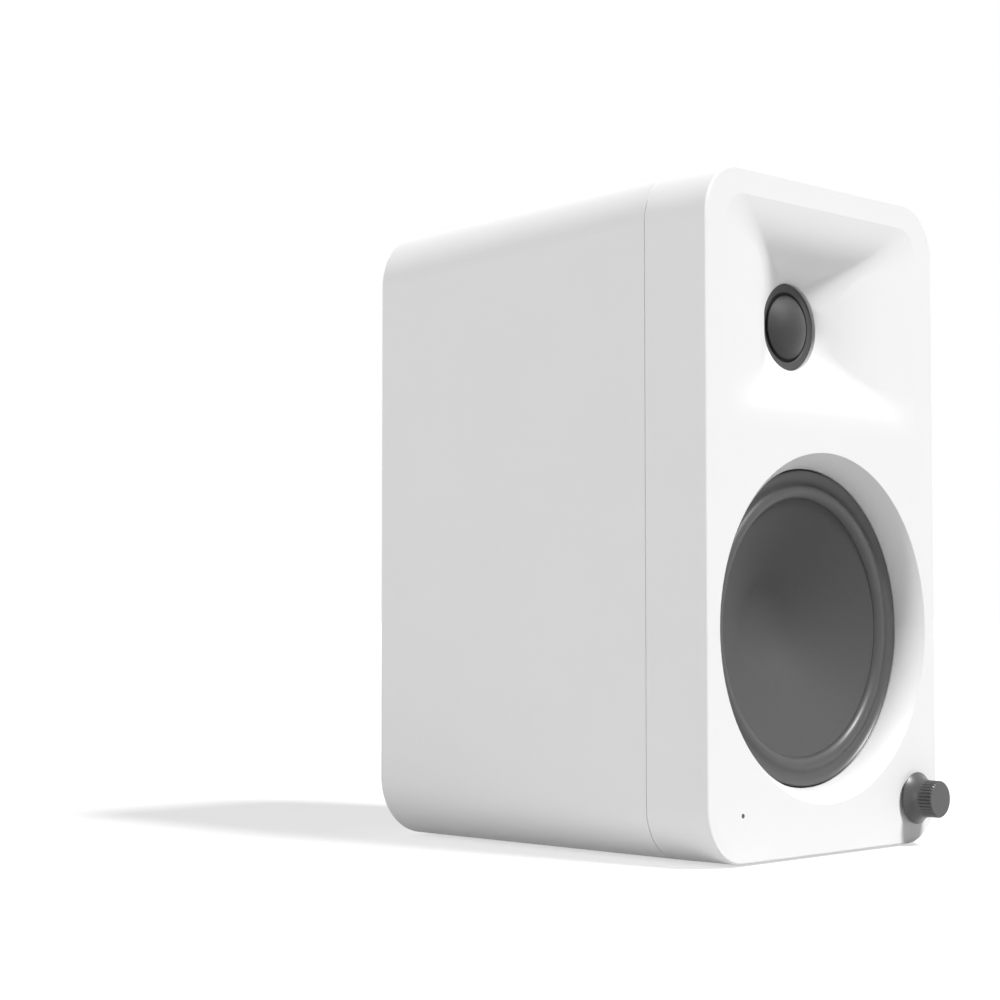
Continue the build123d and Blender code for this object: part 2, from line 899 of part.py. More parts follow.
def tweeter_coil():
    """Bobbin behind the dome's edge, with the winding in the magnet's gap."""
    outer = dome_radius - bore_gap
    inner = outer - tweeter_former
    front = horn_depth + dome_sink + bore_gap
    middle = faceplate_back + tweeter_plate_thick / 2
    half = tweeter_winding_length / 2
    return turned(
        outlined(
            (inner, front), (outer, front), (outer, middle - half), (outer + tweeter_winding, middle - half),
            (outer + tweeter_winding, middle + half), (inner, middle + half),
        ),
        0, tweeter_z,
    )


def tweeter_top_plate():
    bore = dome_radius - bore_gap + tweeter_winding + tweeter_gap
    back = faceplate_back + tweeter_plate_thick
    return tube(tweeter_plate_radius, bore, faceplate_back, back, 0, tweeter_z)


def tweeter_magnet():
    front = faceplate_back + tweeter_plate_thick
    return tube(
        tweeter_magnet_radius, tweeter_magnet_inner, front, front + tweeter_magnet_thick, 0, tweeter_z
    )


def tweeter_yoke():
    pole = dome_radius - bore_gap - tweeter_former - tweeter_gap
    plate = faceplate_back + tweeter_plate_thick + tweeter_magnet_thick
    back = plate + tweeter_yoke_thick
    return turned(
        outlined(
            (0, faceplate_back), (pole, faceplate_back), (pole, plate), (tweeter_plate_radius, plate),
            (tweeter_plate_radius, back), (0, back),
        ),
        0, tweeter_z,
    )


def tweeter_rear_cap():
    front = faceplate_back + tweeter_plate_thick + tweeter_magnet_thick + tweeter_yoke_thick
    cup = rod(tweeter_cap_radius, front, front + tweeter_cap_length, 0, tweeter_z)
    cup = fillet(cup.edges().group_by(Axis.Y)[-1], frame_wall)
    return cup - rod(
        tweeter_cap_radius - frame_wall, front, front + tweeter_cap_length - frame_wall, 0, tweeter_z
    )


# Volume knob and status light


def volume_knob():
    """Trumpet-flared knob with a fluted grip, a nut recess and a D-shaped socket for the shaft."""
    rear = -knob_gap
    skirt = rear - knob_rim
    neck = skirt - knob_flare
    flare = ThreePointArc(
        (knob_flange, skirt),
        (knob_radius + (knob_flange - knob_radius) * flare_share, skirt - knob_flare * flare_share),
        (knob_radius, neck),
    )
    rest = Polyline(
        (knob_radius, neck), (knob_radius, knob_chamfer - knob_reach),
        (knob_radius - knob_chamfer, -knob_reach), (0, -knob_reach),
        (0, rear), (knob_flange, rear), (knob_flange, skirt),
    )
    knob = turned(make_face(flare + rest), knob_x, knob_z)
    flute_circle = knob_radius + flute_radius - flute_depth
    knob -= [flute(neck, x, z) for x, z in ring_points(flute_circle, knob_flutes, 0, knob_x, knob_z)]
    recess = -bush_reach - knob_travel - screw_gap
    knob -= rod(knob_socket, recess, rear, knob_x, knob_z)
    return knob - d_bore(-shaft_reach - fit_gap, recess)


def flute(neck, x, z):
    """Ball-ended groove cutter, from the end of the knob to its neck."""
    bend = flute_radius * sin(radians(45))
    side = Polyline(
        (0, neck + flute_radius), (0, -knob_reach), (flute_radius, -knob_reach), (flute_radius, neck)
    )
    ball = ThreePointArc((flute_radius, neck), (bend, neck + bend), (0, neck + flute_radius))
    return turned(make_face(side + ball), x, z)


def d_section(gap):
    """Round shaft with one flat, grown by a gap."""
    radius = shaft_radius + gap
    flat = Pos(shaft_flat + gap + radius, 0) * Rectangle(2 * radius, 2 * radius)
    return Circle(radius) - flat


def d_bore(front, back):
    return prism(d_section(bore_gap), front, back, knob_x, knob_z)


def shaft_end():
    return encoder_back - switch_height - knob_travel - fit_gap


def encoder_shaft():
    collar = -bush_reach
    body = rod(shaft_radius, collar, face_web, knob_x, knob_z)
    body += prism(d_section(0), -shaft_reach, collar, knob_x, knob_z)
    return body + prism(d_section(0), face_web, shaft_end(), knob_x, knob_z)


def encoder_rotor():
    front = face_web + encoder_floor + fit_gap
    return rod(rotor_radius, front, front + rotor_thick, knob_x, knob_z) - d_bore(front, front + rotor_thick)


def encoder_housing():
    body = block(encoder_size, encoder_size, face_web, encoder_back, knob_x, knob_z)
    body += rod(bush_radius, -bush_reach, face_web, knob_x, knob_z)
    body -= rod(shaft_radius + bore_gap, -bush_reach, face_web + encoder_floor, knob_x, knob_z)
    return body - rod(rotor_radius + fit_gap, face_web + encoder_floor, encoder_back, knob_x, knob_z)


def encoder_nut():
    nut = prism(RegularPolygon(nut_radius, 6), -nut_thick, 0, knob_x, knob_z)
    return nut - rod(bush_radius + bore_gap, -nut_thick, 0, knob_x, knob_z)


def encoder_switch():
    return rod(switch_radius, encoder_back - switch_height, encoder_back, knob_x, knob_z)


def control_board():
    return rod(control_board_radius, encoder_back, encoder_back + board_thick, knob_x, knob_z)


def status_light_pipe():
    pipe = rod(light_radius, 0, light_length, light_x, light_z)
    return pipe + rod(light_collar, light_length, light_length + light_collar_thick, light_x, light_z)


def status_led():
    front = light_length + light_collar_thick
    return rod(led_radius, front, front + led_length, light_x, light_z)


def status_board():
    front = light_length + light_collar_thick + led_length
    return rod(status_board_radius, front, front + board_thick, light_x, light_z)


# Rear panel and amplifier


def rear_panel():
    plate = prism(
        RectangleRounded(panel_width, panel_height, panel_corner), panel_front, cabinet_depth, 0, panel_z
    )
    for x, z in panel_screw_places():
        plate -= rod(screw_shank + fit_gap, panel_front, cabinet_depth, x, z)
    for x, z in jack_places():
        plate -= rod(jack_shell + fit_gap, panel_front, cabinet_depth, x, z)
    for x, z in terminal_places():
        plate -= rod(stud_radius + fit_gap, panel_front, cabinet_depth, x, z)
    plate -= prism(usb_outline(fit_gap), panel_front, cabinet_depth, usb_x, panel_z + jack_row)
    plate -= block(
        inlet_width + 2 * fit_gap, inlet_height + 2 * fit_gap, panel_front, cabinet_depth,
        inlet_x, panel_z + power_row,
    )
    width = rocker_width + 2 * (rocker_wall + 2 * fit_gap)
    height = rocker_height + 2 * (rocker_wall + 2 * fit_gap)
    return plate - block(width, height, panel_front, cabinet_depth, rocker_x, panel_z + power_row)


def amplifier_board():
    board = block(board_width(), board_height(), board_front, board_back, 0, panel_z)
    for x, z in standoff_places():
        board -= rod(screw_shank + fit_gap, board_front, board_back, x, z)
    return board


def standoff(x, z):
    post = rod(standoff_radius, board_back, panel_front, x, z)
    return post - screw_hole(x, z, board_back, board_back + board_screw_bite + screw_gap)


def heat_sink():
    z = panel_z + sink_row
    body = block(sink_width, sink_height, board_front - sink_base, board_front, sink_x, z)
    pitch = (sink_width - sink_fin) / (sink_fins - 1)
    for step in range(sink_fins):
        x = sink_x - (sink_width - sink_fin) / 2 + pitch * step
        body += block(sink_fin, sink_height, board_front - sink_depth, board_front - sink_base, x, z)
    return body


def filter_capacitor(x, z):
    can = rod(capacitor_radius, board_front - capacitor_length, board_front, x, z)
    return fillet(can.edges().group_by(Axis.Y)[0], frame_wall)


def capacitor_places():
    first = -capacitor_pitch * (capacitor_count - 1) / 2
    return [(first + capacitor_pitch * step, panel_z + capacitor_row) for step in range(capacitor_count)]


def output_choke(x, z):
    ring = Rot(90, 0, 0) * Torus(choke_radius - choke_wire, choke_wire)
    return Pos(x, board_front - choke_wire, z) * ring


def choke_places():
    return [(choke_x, panel_z + choke_row + choke_pitch * step) for step in range(2)]


def power_transformer():
    """Ferrite core round a wound bobbin, standing on the board."""
    z = panel_z + transformer_row
    front = board_front - transformer_depth
    core = block(transformer_width, transformer_core, front, board_front, transformer_x, z)
    bobbin_width = transformer_width - transformer_core
    bobbin = block(
        bobbin_width, transformer_height, front + board_margin, board_front, transformer_x, z
    )
    return core + fillet(bobbin.edges().filter_by(Axis.Y), board_margin)


def rca_body(x, z):
    insert = jack_shell - jack_shell_thick
    body = block(jack_body, jack_body, board_back, panel_front, x, z)
    body += rod(insert, panel_front, cabinet_depth + jack_reach, x, z)
    return body - rod(jack_pin_hole, cabinet_depth, cabinet_depth + jack_reach, x, z)


def rca_shell(x, z):
    inner = jack_shell - jack_shell_thick + bore_gap
    return tube(jack_shell, inner, panel_front, cabinet_depth + jack_reach, x, z)


def usb_outline(gap):
    width = usb_width + 2 * gap
    height = usb_height + 2 * gap
    return SlotOverall(width, height)


def usb_port():
    z = panel_z + jack_row
    body = prism(usb_outline(0), board_back, cabinet_depth, usb_x, z)
    hollow = prism(usb_outline(-usb_metal), cabinet_depth - usb_length, cabinet_depth, usb_x, z)
    tongue = block(
        usb_width - usb_height, usb_tongue, cabinet_depth - usb_length, cabinet_depth - usb_tongue, usb_x, z
    )
    return body - hollow + tongue


def binding_post(x, z):
    body = rod(stud_radius, board_back, cap_end, x, z)
    body += rod(collar_radius, cabinet_depth, cabinet_depth + collar_thick, x, z)
    return body - rod(plug_radius, cap_end - plug_depth, cap_end, x, z)


def post_cap(x, z):
    cap = tube(cap_radius, stud_radius + bore_gap, cap_front, cap_end, x, z)
    for flute_x, flute_z in ring_points(cap_radius, cap_flutes, 0, x, z):
        cap -= rod(cap_flute, cap_front + cap_gap, cap_end, flute_x, flute_z)
    return cap


def power_inlet():
    z = panel_z + power_row
    back = cabinet_depth + flange_proud
    body = block(inlet_width, inlet_height, board_back, cabinet_depth, inlet_x, z)
    flange = RectangleRounded(
        inlet_width + 2 * inlet_flange, inlet_height + 2 * inlet_flange, inlet_flange
    )
    body += prism(flange, cabinet_depth, back, inlet_x, z)
    body -= prism(SlotOverall(inlet_slot, inlet_slot_height), back - inlet_depth, back, inlet_x, z)
    for x, pin_z in inlet_pin_places():
        body -= rod(inlet_pin_radius + bore_gap, board_back, back - inlet_depth, x, pin_z)
    return body


def inlet_pin_places():
    return [(inlet_x + side * inlet_pin_pitch / 2, panel_z + power_row) for side in (-1, 1)]


def inlet_pin(x, z):
    floor = cabinet_depth + flange_proud - inlet_depth
    return rod(inlet_pin_radius, board_back, floor + inlet_pin_length, x, z)


def rocker_axis():
    return cabinet_depth + flange_proud - rocker_rise


def rocker_housing():
    z = panel_z + power_row
    back = cabinet_depth + flange_proud
    clear = (rocker_width + 2 * fit_gap, rocker_height + 2 * fit_gap)
    width, height = [side + 2 * rocker_wall for side in clear]
    body = block(width, height, board_back, cabinet_depth, rocker_x, z)
    flange = RectangleRounded(width + 2 * rocker_wall, height + 2 * rocker_wall, rocker_wall)
    body += prism(flange, cabinet_depth, back, rocker_x, z)
    body -= block(*clear, board_back + rocker_wall, back, rocker_x, z)
    return body - rocker_pins(bore_gap, bore_gap)


def rocker_pins(gap, extra):
    length = rocker_width + 2 * (rocker_pin_length + extra)
    pin = Rot(0, 90, 0) * Cylinder(rocker_pin + gap, length)
    return Pos(rocker_x, rocker_axis(), panel_z + power_row) * pin


def power_rocker():
    """Shallow V paddle on two stub axles, tipped to one of its two stops."""
    half = rocker_height / 2 - fit_gap
    top = rocker_rise + half * tan(radians(rocker_tilt))
    side = outlined(
        (rocker_rise, 0), (top, half), (top - rocker_rise, half), (-rocker_depth, half / 2),
        (-rocker_depth, -half / 2), (top - rocker_rise, -half), (top, -half),
    )
    paddle = extrude(Plane.YZ * side, rocker_width / 2, both=True)
    seat = Pos(rocker_x, rocker_axis(), panel_z + power_row)
    return seat * Rot(rocker_tilt, 0, 0) * paddle + rocker_pins(0, 0)


# Every piece under its own name


def group(shapes):
    """Several solids kept apart in one node."""
    return Compound([solid for shape in shapes for solid in shape.solids()])


def screws(places, seat, tip):
    return group(screw(x, z, seat, tip) for x, z in places)


def cabinet_nodes():
    return {
        "front_baffle": front_baffle(),
        "cabinet_shell": cabinet_shell(),
        "baffle_gasket": seal_ring(baffle_depth, baffle_depth + seal_thick, 0),
        "baffle_screws": screws(post_places(), post_end + boss_length, baffle_depth - baffle_screw_bite),
        "rubber_feet": group(rubber_foot(x, y) for x, y in foot_places()),
        "damping_pads": group([damping_pads()]),
        "port_tube": port_tube(),
    }


def woofer_nodes():
    return {
        "woofer_frame": woofer_frame(),
        "woofer_gasket": woofer_gasket(),
        "woofer_surround": woofer_surround(),
        "woofer_cone": woofer_cone(),
        "woofer_coil_former": woofer_coil_former(),
        "woofer_winding": woofer_winding(),
        "woofer_spider": woofer_spider(),
        "woofer_top_plate": woofer_top_plate(),
        "woofer_magnet": woofer_magnet(),
        "woofer_yoke": woofer_yoke(),
        "woofer_terminals": woofer_terminals(),
        "woofer_screws": screws(
            woofer_screw_places(), flange_back, surround_depth + lip_thick - woofer_screw_bite
        ),
    }


def tweeter_nodes():
    return {
        "tweeter_faceplate": tweeter_faceplate(),
        "tweeter_surround": tweeter_surround(),
        "tweeter_dome": tweeter_dome(),
        "tweeter_coil": tweeter_coil(),
        "tweeter_top_plate": tweeter_top_plate(),
        "tweeter_magnet": tweeter_magnet(),
        "tweeter_yoke": tweeter_yoke(),
        "tweeter_rear_cap": tweeter_rear_cap(),
        "tweeter_screws": screws(
            tweeter_screw_places(), faceplate_back, faceplate_front - tweeter_screw_bite
        ),
    }


def control_nodes():
    return {
        "volume_knob": volume_knob(),
        "encoder_shaft": encoder_shaft(),
        "encoder_rotor": encoder_rotor(),
        "encoder_housing": encoder_housing(),
        "encoder_nut": encoder_nut(),
        "encoder_switch": encoder_switch(),
        "control_board": control_board(),
        "status_light_pipe": status_light_pipe(),
        "status_led": status_led(),
        "status_board": status_board(),
    }


def rear_nodes():
    left_post, right_post = terminal_places()
    return {
        "rear_panel": rear_panel(),
        "rear_panel_screws": screws(panel_screw_places(), cabinet_depth, panel_front - panel_screw_bite),
        "rca_bodies": group(rca_body(x, z) for x, z in jack_places()),
        "rca_shells": group(rca_shell(x, z) for x, z in jack_places()),
        "usb_port": usb_port(),
        "binding_posts": group(binding_post(x, z) for x, z in terminal_places()),
        "post_cap_red": post_cap(*right_post),
        "post_cap_black": post_cap(*left_post),
        "power_inlet": power_inlet(),
        "inlet_pins": group(inlet_pin(x, z) for x, z in inlet_pin_places()),
        "rocker_housing": rocker_housing(),
        "power_rocker": power_rocker(),
    }


def amplifier_nodes():
    return {
        "amplifier_board": amplifier_board(),
        "board_standoffs": group(standoff(x, z) for x, z in standoff_places()),
        "board_screws": screws(standoff_places(), board_front, board_back + board_screw_bite),
        "heat_sink": heat_sink(),
        "filter_capacitors": group(filter_capacitor(x, z) for x, z in capacitor_places()),
        "output_chokes": group(output_choke(x, z) for x, z in choke_places()),
        "power_transformer": power_transformer(),
    }


os.makedirs("parts", exist_ok=True)
for nodes in (
    cabinet_nodes(), woofer_nodes(), tweeter_nodes(), control_nodes(), rear_nodes(), amplifier_nodes(),
):
    for name, shape in nodes.items():
        export_step(Pos(0, envelope_shift, 0) * shape, f"parts/{name}.step")
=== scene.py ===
import json
import math

import bmesh
import bpy
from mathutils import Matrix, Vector, noise


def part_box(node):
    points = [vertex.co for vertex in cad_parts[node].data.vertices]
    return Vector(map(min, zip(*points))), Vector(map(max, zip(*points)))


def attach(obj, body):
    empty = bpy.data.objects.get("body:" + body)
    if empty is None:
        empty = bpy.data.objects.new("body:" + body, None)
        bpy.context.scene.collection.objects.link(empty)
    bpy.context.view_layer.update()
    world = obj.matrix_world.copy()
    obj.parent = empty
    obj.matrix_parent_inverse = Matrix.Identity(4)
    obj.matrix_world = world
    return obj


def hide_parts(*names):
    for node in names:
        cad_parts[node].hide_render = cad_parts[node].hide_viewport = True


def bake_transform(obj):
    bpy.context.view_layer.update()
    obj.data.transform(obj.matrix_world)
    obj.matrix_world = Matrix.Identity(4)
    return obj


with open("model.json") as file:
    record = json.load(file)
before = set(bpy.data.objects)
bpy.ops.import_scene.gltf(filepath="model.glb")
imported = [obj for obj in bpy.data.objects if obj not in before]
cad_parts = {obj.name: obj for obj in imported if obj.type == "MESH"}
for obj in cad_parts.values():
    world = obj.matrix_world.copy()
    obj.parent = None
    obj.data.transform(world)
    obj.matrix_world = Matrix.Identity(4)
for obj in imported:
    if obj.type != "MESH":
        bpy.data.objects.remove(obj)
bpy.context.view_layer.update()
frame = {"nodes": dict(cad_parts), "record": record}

# Powered bookshelf speaker: white tapered cabinet, horn-loaded dome tweeter, dish woofer and volume knob.
# Metres, X to the right seen from the front, minus Y towards the listener, Z up.

MM = 0.001
MICRON = 0.000001

# Camera, as the photograph was taken
CAMERA_PLACE = Vector((-0.71988, -0.59890, 0.09177))
CAMERA_FORWARD = Vector((0.72320, 0.68840, 0.05530))
CAMERA_LENS = 80.7
CAMERA_SENSOR = 36.0
CAMERA_SHIFT = (0.0038, -0.0065)
CAMERA_NEAR = 0.01
CAMERA_FAR = 100.0

# Lamps: degrees to the right of the front, degrees high, strength, degrees across
LAMPS = {
    "key": (10, 51, 3.68, 12),
    "left_rim": (-100, 12, 1.7, 50),
    "right_rim": (130, 14, 1.0, 60),
}

# Floor and sky: half width, grey, glow where the camera sees it, and strength overhead
FLOOR_REACH = 30.0
FLOOR_GREY = 0.55
FLOOR_GLOW = 0.6
SKY_TOP = 0.08

# Fibres of the dish: per radian, per metre outwards, and how soon they show from the centre
FIBRES_ROUND = 60.0
FIBRES_OUTWARD = 350.0
FIBRES_CALM = 60.0

# Rubber roll round the dish
DISH_WALL = 0.0009
DISH_ANGLE = math.radians(28.0)
DISH_LIP = 0.0036
ROLL_RUBBER = 0.0008
ROLL_VALLEY = 0.0013
ROLL_EDGE = 0.0004
ROLL_FOOT = 0.0019
ROLL_GAP = 0.0003
ROLL_TOUCH = 0.00004
ROLL_GROOVE = 0.0004
BEAD_RADIUS = 0.0036
BEAD_OFFSET = 0.0034
BEAD_TURN = math.radians(69.0)
VALLEY_STEPS = 24
VALLEY_BACK_STEPS = 18
BEAD_STEPS = 18
BEAD_BACK_STEPS = 12

# Cloth spider behind the dish
SPIDER_WAVE = 0.0012
SPIDER_WAVES = 4
SPIDER_CLOTH = 0.0005
SPIDER_COLLAR = 0.0020
SPIDER_RIM = 0.0090
SPIDER_WAVE_STEPS = 16

# Tweeter dome and its roll
DOME_CLOTH = 0.00035
DOME_ROLL_CLOTH = 0.0002
DOME_ROLL_LIP = 0.00135
DOME_ROLL_DIP = 0.0004
DOME_SLEEVE_GAP = 0.00003
DOME_STEPS = 32
DOME_ROLL_STEPS = 14
THREAD_PITCH = 0.00042
THREAD_HEIGHT = 0.12

# Volume knob
KNOB_SKIRT = 0.0104
KNOB_RIM = 0.0008
KNOB_EDGE = 0.0006
KNOB_GRIP = 0.0074
KNOB_FLARE = 0.0060
FLARE_BEND = 0.48
FLARE_STEPS = 28
GRIP_STEPS = 4
KNOB_CHAMFER = 0.0005
KNOB_SOCKET = 0.0062
KNOB_SOCKET_DEPTH = 0.0022
KNOB_BORE = 0.00305
KNOB_FIT = 0.0003
KNOB_FLUTES = 34
FLUTE_DEPTH = 0.00045
FLUTE_RUN = 0.0022
FLUTE_SHARPNESS = 3.0
FLUTE_STEPS = 12

# Felt, and how much of its space it fills
FELT_VOXEL = 0.0025
FELT_LUMP = 0.0009
FELT_LUMP_SIZE = 0.012

# Nodes that look other than the rest of their slot
NODE_LOOKS = {"volume_knob": "knob_plastic", "rca_bodies": "rca_plastic"}

RING_STEPS = 192
MERGE_REACH = 1e-7
SMOOTH_ANGLE = math.radians(38.0)


# Shader nodes


class Look:
    """One material with a Principled shader, and short calls that wire its nodes."""

    def __init__(self, name, **sockets):
        self.material = bpy.data.materials.new(name)
        self.material.use_nodes = True
        self.nodes = self.material.node_tree.nodes
        self.links = self.material.node_tree.links
        self.shader = self.nodes["Principled BSDF"]
        for socket, value in sockets.items():
            self.shader.inputs[socket.replace("_", " ")].default_value = value
        self.place = self.nodes.new("ShaderNodeTexCoord").outputs["Object"]

    def node(self, kind, output, inputs, **settings):
        made = self.nodes.new(kind)
        for key, value in settings.items():
            setattr(made, key, value)
        for key, value in inputs.items():
            if isinstance(value, bpy.types.NodeSocket):
                self.links.new(value, made.inputs[key])
            else:
                made.inputs[key].default_value = value
        return made.outputs[output]

    def math(self, operation, first, second=0.0):
        return self.node("ShaderNodeMath", 0, {0: first, 1: second}, operation=operation)

    def stretched(self, scale):
        return self.node("ShaderNodeVectorMath", 0, {0: self.place, 1: scale}, operation="MULTIPLY")

    def grain(self, size, detail=2.0, stretch=(1, 1, 1)):
        """Soft noise from 0 to 1 with lumps of about one size."""
        scaled = self.stretched([share / size for share in stretch])
        return self.node("ShaderNodeTexNoise", "Fac", {"Vector": scaled, "Scale": 1.0, "Detail": detail})

    def cells(self, size):
        scaled = self.stretched([1 / size] * 3)
        return self.node("ShaderNodeTexVoronoi", "Distance", {"Vector": scaled, "Scale": 1.0})

    def axis(self, name, start=0.0):
        split = self.node("ShaderNodeSeparateXYZ", name, {0: self.place})
        return self.math("SUBTRACT", split, start)

    def ripple(self, along, size):
        """Even ridges from 0 to 1 along one coordinate."""
        wave = self.math("SINE", self.math("MULTIPLY", along, 2 * math.pi / size))
        return self.math("ADD", self.math("MULTIPLY", wave, 0.5), 0.5)

    def polar(self, centre):
        """Radius and angle about a front-to-back axis."""
        x, z = self.axis("X", centre.x), self.axis("Z", centre.z)
        square = self.math("ADD", self.math("MULTIPLY", x, x), self.math("MULTIPLY", z, z))
        return self.math("SQRT", square), self.math("ARCTAN2", z, x)

    def range(self, share, low, high):
        return self.node("ShaderNodeMapRange", 0, {"Value": share, "To Min": low, "To Max": high})

    def mix(self, share, first, second):
        return self.node("ShaderNodeMix", 2, {0: share, 6: first, 7: second}, data_type="RGBA")

    def paint(self, share, tint):
        """Base colour between two greys or colours."""
        self.links.new(self.mix(share, *map(colour, tint)), self.shader.inputs["Base Color"])

    def rough(self, share, low, high):
        self.links.new(self.range(share, low, high), self.shader.inputs["Roughness"])

    def bump(self, height, depth, under=None):
        """Raised detail, which may lie on top of another."""
        inputs = {"Height": height, "Distance": depth, "Strength": 1.0}
        if under is not None:
            inputs["Normal"] = under
        normal = self.node("ShaderNodeBump", "Normal", inputs)
        self.links.new(normal, self.shader.inputs["Normal"])
        return normal


def colour(value):
    """Colour with alpha, from a grey level or three numbers."""
    return (value, value, value, 1.0) if isinstance(value, float) else (*value, 1.0)


# Materials


def satin_lacquer():
    """White lacquer with a fine orange peel."""
    look = Look("cabinet_white", Specular_IOR_Level=0.4)
    look.paint(look.grain(35 * MM, detail=3.0), (0.83, 0.85))
    look.rough(look.grain(4 * MM, detail=3.0), 0.44, 0.54)
    peel = look.bump(look.grain(1.6 * MM), 12 * MICRON)
    look.bump(look.grain(0.6 * MM), 16 * MICRON, peel)
    return look.material


def moulded(name, tint, rough, grit=0.3 * MM, depth=10 * MICRON, shine=0.5):
    """Moulded plastic with a spark-eroded skin."""
    look = Look(name, Specular_IOR_Level=shine)
    look.paint(look.grain(6 * MM, detail=3.0), tint)
    look.rough(look.grain(2 * MM), *rough)
    look.bump(look.grain(grit), depth)
    return look.material


def pressed_dish(centre):
    """Satin dish, pressed from short fibres that lie outwards from the middle."""
    look = Look("grey_cone", Specular_IOR_Level=0.2)
    radius, angle = look.polar(centre)
    along = look.node(
        "ShaderNodeCombineXYZ", 0,
        {0: look.math("MULTIPLY", angle, FIBRES_ROUND), 1: look.math("MULTIPLY", radius, FIBRES_OUTWARD)},
    )
    fibres = look.node("ShaderNodeTexNoise", "Fac", {"Vector": along, "Scale": 1.0, "Detail": 2.0})
    look.paint(fibres, (0.078, 0.09))
    look.rough(look.grain(1.1 * MM), 0.6, 0.7)
    pulp = look.bump(look.grain(0.7 * MM), 6 * MICRON)
    calm = look.math("MINIMUM", look.math("MULTIPLY", radius, FIBRES_CALM), 1.0)
    look.bump(look.math("MULTIPLY", fibres, calm), 4 * MICRON, pulp)
    return look.material


def socket_colours(low, high):
    """Red, white and black insulators, from one end of the row of sockets to the other."""
    look = Look("rca_plastic", Specular_IOR_Level=0.4)
    width = (high.x - low.x) / 3
    grain = look.grain(2 * MM)
    red = look.mix(grain, colour((0.36, 0.014, 0.012)), colour((0.44, 0.022, 0.018)))
    white = look.mix(grain, colour(0.62), colour(0.7))
    black = look.mix(grain, colour(0.016), colour(0.024))
    past_red = look.math("GREATER_THAN", look.axis("X"), low.x + width)
    past_white = look.math("GREATER_THAN", look.axis("X"), low.x + 2 * width)
    row = look.mix(past_white, look.mix(past_red, red, white), black)
    look.links.new(row, look.shader.inputs["Base Color"])
    look.rough(grain, 0.3, 0.42)
    look.bump(look.grain(0.3 * MM), 8 * MICRON)
    return look.material


def soft_rubber(name, tint, rough):
    look = Look(name, Specular_IOR_Level=0.5)
    look.paint(look.grain(9 * MM, detail=3.0), tint)
    look.rough(look.grain(2.2 * MM), *rough)
    look.bump(look.grain(0.5 * MM), 6 * MICRON)
    return look.material


def woven(name, pitch, tint, rough, sheen):
    """Plain weave, with threads that run across and up."""
    look = Look(name, Sheen_Weight=sheen, Sheen_Roughness=0.4, Specular_IOR_Level=0.3)
    across = look.ripple(look.axis("X"), pitch)
    upward = look.ripple(look.axis("Z"), pitch)
    weave = look.math("MULTIPLY", across, upward)
    look.paint(weave, tint)
    look.rough(look.grain(pitch * 4), *rough)
    look.bump(weave, pitch * THREAD_HEIGHT)
    return look.material


def metal(name, tint, rough, stretch=(1, 1, 1)):
    """Plated or drawn metal, with the fine marks of its making."""
    look = Look(name, Metallic=1.0)
    marks = look.grain(0.6 * MM, detail=3.0, stretch=stretch)
    look.paint(look.grain(8 * MM), tint)
    look.rough(marks, *rough)
    look.bump(marks, 4 * MICRON)
    return look.material


def wire_winding():
    """Enamelled copper wire, turn beside turn."""
    look = Look("copper", Metallic=1.0, Coat_Weight=0.5, Coat_Roughness=0.15)
    turns = look.ripple(look.axis("Y"), 0.4 * MM)
    look.paint(turns, ((0.42, 0.17, 0.07), (0.72, 0.36, 0.18)))
    look.rough(look.grain(2 * MM), 0.22, 0.34)
    look.bump(turns, 80 * MICRON)
    return look.material


def ferrite():
    look = Look("ferrite")
    look.paint(look.grain(1.2 * MM, detail=4.0), (0.028, 0.05))
    look.rough(look.grain(3 * MM, detail=3.0), 0.5, 0.75)
    look.bump(look.grain(0.8 * MM, detail=3.0), 40 * MICRON)
    return look.material


def foam():
    look = Look("seal_foam")
    pores = look.cells(0.5 * MM)
    look.paint(pores, (0.012, 0.03))
    look.rough(pores, 0.75, 0.95)
    look.bump(pores, 100 * MICRON)
    return look.material


def felt():
    look = Look("felt", Sheen_Weight=0.4, Sheen_Roughness=0.6)
    fibres = look.grain(0.7 * MM, detail=4.0, stretch=(1, 0.35, 1))
    look.paint(fibres, (0.09, 0.2))
    look.rough(fibres, 0.85, 1.0)
    look.bump(fibres, 400 * MICRON)
    return look.material


def solder_mask():
    """Green board with faint copper tracks under the mask."""
    look = Look("circuit_board", Coat_Weight=0.4, Coat_Roughness=0.2)
    across = look.math("GREATER_THAN", look.ripple(look.axis("X"), 4 * MM), 0.72)
    upward = look.math("GREATER_THAN", look.ripple(look.axis("Z"), 5.5 * MM), 0.78)
    tracks = look.math("MAXIMUM", across, upward)
    look.paint(tracks, ((0.008, 0.07, 0.025), (0.018, 0.13, 0.045)))
    look.rough(look.grain(3 * MM), 0.3, 0.42)
    look.bump(tracks, 30 * MICRON)
    return look.material


def smoked_lens():
    look = Look("smoked_pipe", Coat_Weight=0.6, Coat_Roughness=0.08)
    look.paint(look.grain(0.6 * MM), (0.015, 0.03))
    look.rough(look.grain(0.4 * MM), 0.15, 0.25)
    return look.material


def clear_lens():
    look = Look("clear_led", Transmission_Weight=0.8, IOR=1.5)
    look.paint(look.grain(1 * MM), (0.7, 0.85))
    look.rough(look.grain(0.8 * MM), 0.05, 0.15)
    return look.material


def printed_sleeve():
    """Shrink sleeve with a paler stripe down one side."""
    look = Look("capacitor_sleeve", Coat_Weight=0.3, Coat_Roughness=0.2)
    stripe = look.math("GREATER_THAN", look.ripple(look.axis("X"), 19 * MM), 0.93)
    look.paint(stripe, ((0.012, 0.014, 0.03), (0.35, 0.36, 0.4)))
    look.rough(look.grain(3 * MM), 0.28, 0.4)
    look.bump(look.grain(0.8 * MM), 10 * MICRON)
    return look.material


